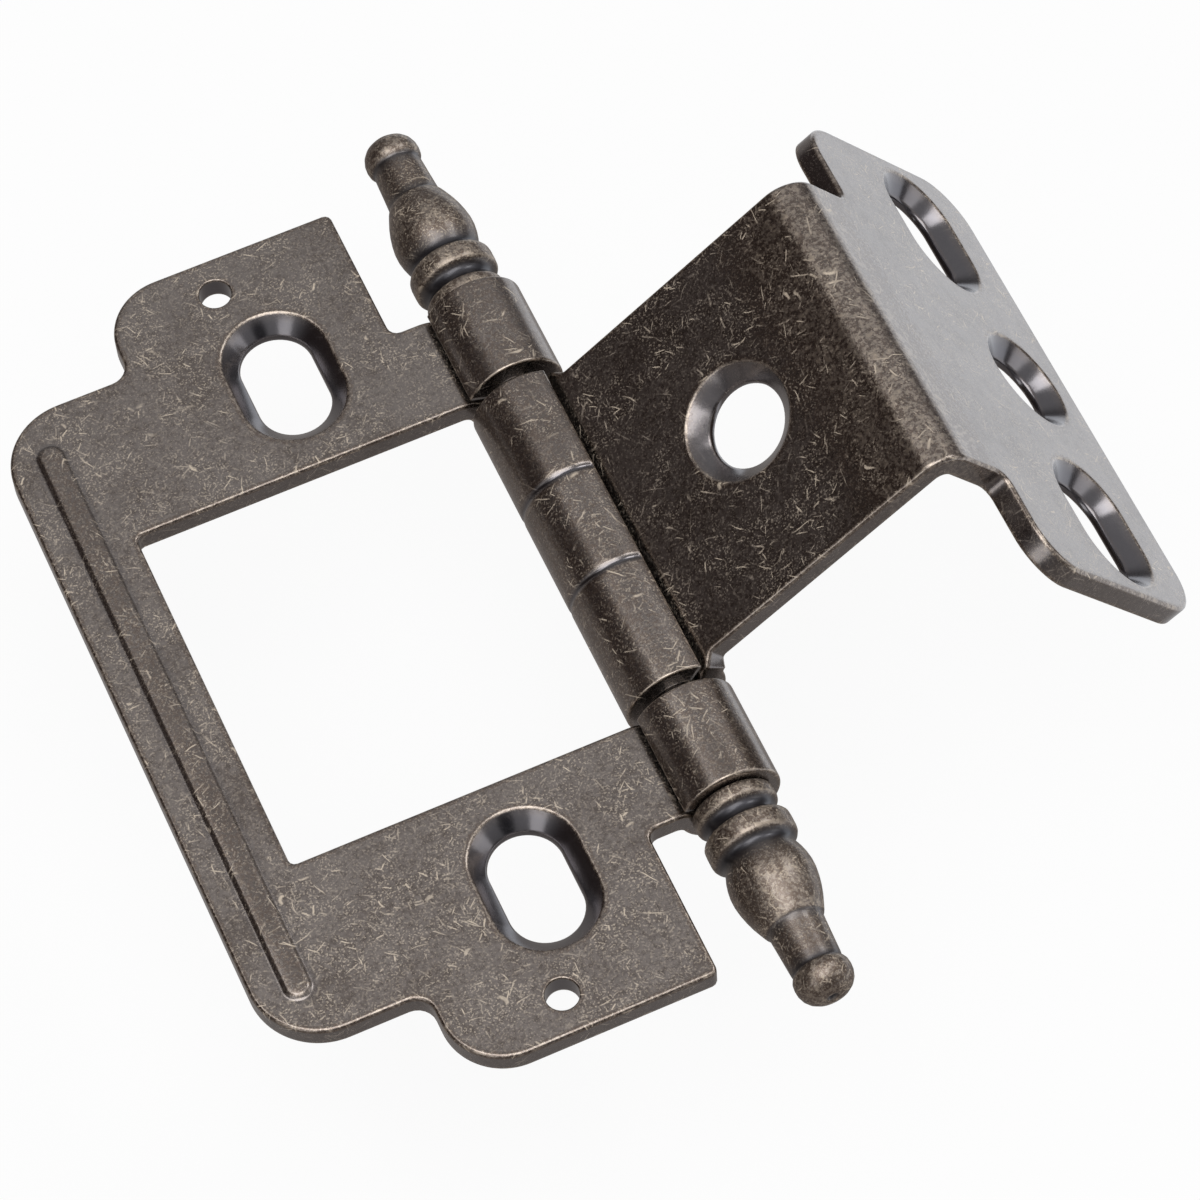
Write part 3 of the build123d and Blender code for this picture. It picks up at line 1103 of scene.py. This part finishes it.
# Radius, height over the knuckle, wear and soot at each station of the turned profile.
FINIAL_PROFILE = (
    # collar
    (0.9, 0.0, 0.0, 0.6), (2.40, 0.0, 0.0, 0.6), (2.62, 0.06, 0.1, 0.3), (2.77, 0.16, 0.7, 0.0),
    (2.82, 0.32, 0.6, 0.0), (2.82, 0.90, 0.5, 0.0), (2.78, 1.04, 0.8, 0.0), (2.68, 1.14, 0.5, 0.2),
    (2.50, 1.26, 0.0, 0.75), (2.38, 1.45, 0.0, 0.95), (2.35, 1.68, 0.0, 0.95), (2.38, 1.92, 0.0, 0.95),
    (2.50, 2.12, 0.0, 0.8),
    # ring
    (2.74, 2.24, 0.1, 0.4), (2.90, 2.33, 0.7, 0.0), (2.98, 2.46, 0.8, 0.0), (3.00, 2.80, 0.5, 0.0),
    (3.00, 3.40, 0.5, 0.0), (2.97, 3.62, 0.8, 0.0), (2.88, 3.78, 0.6, 0.1), (2.70, 3.91, 0.0, 0.6),
    (2.54, 4.05, 0.0, 0.9), (2.47, 4.25, 0.0, 0.95), (2.49, 4.50, 0.0, 0.8),
    # vase
    (2.57, 4.74, 0.0, 0.5), (2.70, 5.10, 0.15, 0.2), (2.81, 5.55, 0.35, 0.0), (2.88, 6.05, 0.45, 0.0),
    (2.88, 6.60, 0.5, 0.0), (2.80, 7.20, 0.5, 0.0), (2.67, 7.80, 0.45, 0.0), (2.49, 8.40, 0.4, 0.0),
    (2.28, 8.95, 0.4, 0.0), (2.12, 9.35, 0.55, 0.0), (2.04, 9.50, 0.5, 0.0), (1.94, 9.60, 0.0, 0.6),
    # neck
    (1.88, 9.75, 0.0, 0.5), (1.85, 10.3, 0.25, 0.05), (1.81, 11.1, 0.25, 0.05), (1.77, 12.0, 0.3, 0.1),
    (1.74, 12.6, 0.1, 0.45), (1.70, 12.85, 0.0, 0.8),
    # knob
    (1.72, 12.98, 0.0, 0.6), (1.83, 13.08, 0.3, 0.1), (1.93, 13.28, 0.6, 0.0), (1.97, 13.62, 0.5, 0.0),
    (1.94, 14.00, 0.45, 0.0), (1.81, 14.38, 0.45, 0.0), (1.58, 14.70, 0.5, 0.0), (1.25, 14.95, 0.5, 0.0),
    (0.88, 15.09, 0.5, 0.0), (0.60, 15.14, 0.45, 0.0), (0.44, 15.14, 0.5, 0.0), (0.36, 15.08, 0.1, 0.4),
    (0.28, 14.90, 0.0, 0.9), (0.0, 14.84, 0.0, 0.9),
)


@dataclass
class Finial:
    """Turned finial: foot, ring, vase and knob."""

    side: int
    foot_y: float = 20.8
    turns: int = 96

    @property
    def name(self) -> str:
        """Name of the piece."""
        return "upper_finial_turned" if self.side > 0 else "lower_finial_turned"

    def build(self, finish: bpy.types.Material) -> bpy.types.Object:
        """Spin the profile round the pin.

        Args:
            finish: its material.

        Returns:
            The finished piece.
        """
        mesh = bmesh.new()
        worn = mesh.verts.layers.float.new("worn")
        deep = mesh.verts.layers.float.new("deep")
        row: list[bmesh.types.BMVert] = []
        for radius, height, rub, soot in FINIAL_PROFILE:
            vert = mesh.verts.new((radius, self.side * (self.foot_y + height), 0.0))
            vert[worn], vert[deep] = rub, soot
            row.append(vert)
        edges = [mesh.edges.new(pair) for pair in zip(row, row[1:])]
        bmesh.ops.spin(
            mesh, geom=[*row, *edges], cent=(0, 0, 0), axis=(0, 1, 0), angle=2 * pi, steps=self.turns,
            use_merge=True,
        )
        bmesh.ops.remove_doubles(mesh, verts=mesh.verts[:], dist=SAME)
        bmesh.ops.holes_fill(mesh, edges=[e for e in mesh.edges if e.is_boundary], sides=0)
        bmesh.ops.recalc_face_normals(mesh, faces=mesh.faces[:])
        for face in mesh.faces:
            face.smooth = len(face.verts) < 5
        move = Matrix.Scale(MM, 4) @ Matrix.Translation(PIN_AXIS)
        bmesh.ops.transform(mesh, matrix=move, verts=mesh.verts[:])
        return as_object(mesh, self.name, finish)


# ---- studio


@dataclass
class Lamp:
    """Soft box over the table."""

    name: str
    azimuth: float
    elevation: float
    distance: float
    size: float
    watts: float

    def build(self, centre: Vector) -> None:
        """Hang the lamp and turn it to the centre."""
        light = bpy.data.lights.new(self.name, "AREA")
        light.shape = "SQUARE"
        light.size = self.size
        light.energy = self.watts
        lamp = bpy.data.objects.new(self.name, light)
        a, e = radians(self.azimuth), radians(self.elevation)
        way = Vector((sin(a) * cos(e), cos(a) * cos(e), sin(e)))
        turn = way.to_track_quat("Z", "Y").to_matrix().to_4x4()
        lamp.matrix_world = Matrix.Translation(centre + way * self.distance) @ turn
        bpy.context.scene.collection.objects.link(lamp)


@dataclass
class Studio:
    """Table, soft light and the camera at the photograph's angle."""

    spot: Vector = field(default_factory=lambda: Vector((-47.431, -167.727, 293.582)) * MM)
    right: tuple[float, float, float] = (0.9127268, -0.4063814, -0.0422361)
    up: tuple[float, float, float] = (0.3693451, 0.7764814, 0.5105495)
    back: tuple[float, float, float] = (-0.1746823, -0.4815919, 0.8588104)
    lens: float = 157.686
    lean: float = radians(4.623)
    table_half: float = 2.5
    clearance: float = 20.02
    white: Colour = rgb(0.95, 0.95, 0.95)
    floor_tone: Colour = rgb(0.13, 0.125, 0.13)
    roof_tone: Colour = rgb(0.43, 0.43, 0.44)
    dark_way: tuple[float, float, float] = (-0.80, 0.47, 0.30)
    dark_tone: Colour = rgb(0.055, 0.043, 0.041)
    gap_way: tuple[float, float, float] = (0.15, -0.86, 0.48)
    gap_tone: Colour = rgb(0.04, 0.04, 0.045)
    lamps: tuple[Lamp, ...] = (
        Lamp("overhead_box", 200.0, 74.0, 0.75, 0.55, 2.6),
        Lamp("left_box", 300.0, 66.0, 0.8, 0.35, 0.5),
        Lamp("right_box", 80.0, 48.0, 0.9, 0.30, 1.0),
        Lamp("front_left_card", 228.0, 27.0, 0.8, 0.34, 0.42),
        Lamp("front_right_card", 118.0, 20.0, 0.8, 0.34, 0.36),
    )

    def camera(self) -> None:
        """Put up the camera."""
        data = bpy.data.cameras.new("photo_camera")
        data.sensor_fit = "HORIZONTAL"
        data.sensor_width = 36.0
        data.lens = self.lens
        data.clip_start = 0.01
        camera = bpy.data.objects.new("photo_camera", data)
        axes = Matrix((self.right, self.up, self.back)).transposed().to_4x4()
        camera.matrix_world = Matrix.Translation(self.spot) @ axes
        bpy.context.scene.collection.objects.link(camera)
        bpy.context.scene.camera = camera

    def table(self, finish: bpy.types.Material) -> None:
        """Lay the table parallel to the plane the hinge rests on, clear of the flange's whole swing."""
        drop = Vector((0.0, 0.0, BARREL_R / cos(self.lean) + self.clearance))
        place = Matrix.Translation((PIN_AXIS - drop) * MM) @ Matrix.Rotation(self.lean, 4, "Y")
        mesh = bmesh.new()
        bmesh.ops.create_grid(mesh, x_segments=8, y_segments=8, size=self.table_half, matrix=place)
        as_object(mesh, "table_top", finish)

    def light(self) -> None:
        """Set the soft boxes."""
        centre = PIN_AXIS * MM
        for lamp in self.lamps:
            lamp.build(centre)

    def room(self) -> None:
        """Set the room that the metal reflects: pale above, and dark to the left and ahead."""
        world = bpy.data.worlds.new("room")
        bpy.context.scene.world = world
        world.use_nodes = True
        graph = Graph(world.node_tree)
        way = graph.node("TexCoord", out="Generated", vector=True)
        height = way.dot((0.0, 0.0, 1.0))
        tone = graph.tint(self.floor_tone, self.roof_tone, height.ramp(0.08, 0.56))
        tone = graph.tint(tone, self.dark_tone, way.dot(self.dark_way).ramp(0.52, 0.93))
        tone = graph.tint(tone, self.gap_tone, way.dot(self.gap_way).ramp(0.955, 0.985))
        seen = graph.node("LightPath", out="Is Camera Ray")
        tone = graph.tint(tone, self.white, seen)
        lit = graph.node("Background", {}, {"Color": tone, "Strength": 1.0})
        graph.node("OutputWorld", {}, {"Surface": lit})
        bpy.context.scene.view_settings.view_transform = "Standard"


def main() -> None:
    """Build the hinge and its studio in order."""
    logging.basicConfig(level=logging.INFO, format="%(message)s")
    door = DoorLeaf()
    steel = AntiqueMetal("antique_steel", Rub(door.bend_line(), inner=2.4, outer=5.8, amount=0.52)).build()
    turned = AntiqueMetal(
        "antique_turned", base=rgb(0.265, 0.228, 0.202), recess=rgb(0.060, 0.060, 0.070), gloss=0.44,
        recess_gloss=0.42, lacquer=0.4, wear=0.6, speck=0.9,
    ).build()
    pin = AntiqueMetal("pin_steel", base=rgb(0.20, 0.18, 0.17), dark=rgb(0.10, 0.09, 0.09)).build()
    pieces = (
        (FrameLeaf().build(steel), "frame_side", ("frame_leaf",), "antique_steel"),
        (door.build(steel), "door_side", ("door_leaf",), "antique_steel"),
        (Finial(1).build(turned), "frame_side", ("upper_finial",), "antique_brass"),
        (Finial(-1).build(turned), "frame_side", ("lower_finial",), "antique_brass"),
    )
    for piece, body, nodes, slot in pieces:
        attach(piece, body)
        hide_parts(*nodes)
        LOG.info("%s: %d faces on %s", piece.name, len(piece.data.polygons), body)
    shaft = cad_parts["hinge_pin"]
    for holder in shaft.material_slots:
        holder.material = pin
    LOG.info("hinge_pin keeps its solid")
    studio = Studio()
    studio.camera()
    studio.table(PaleTable().build())
    studio.light()
    studio.room()


if __name__ == "__main__":
    main()
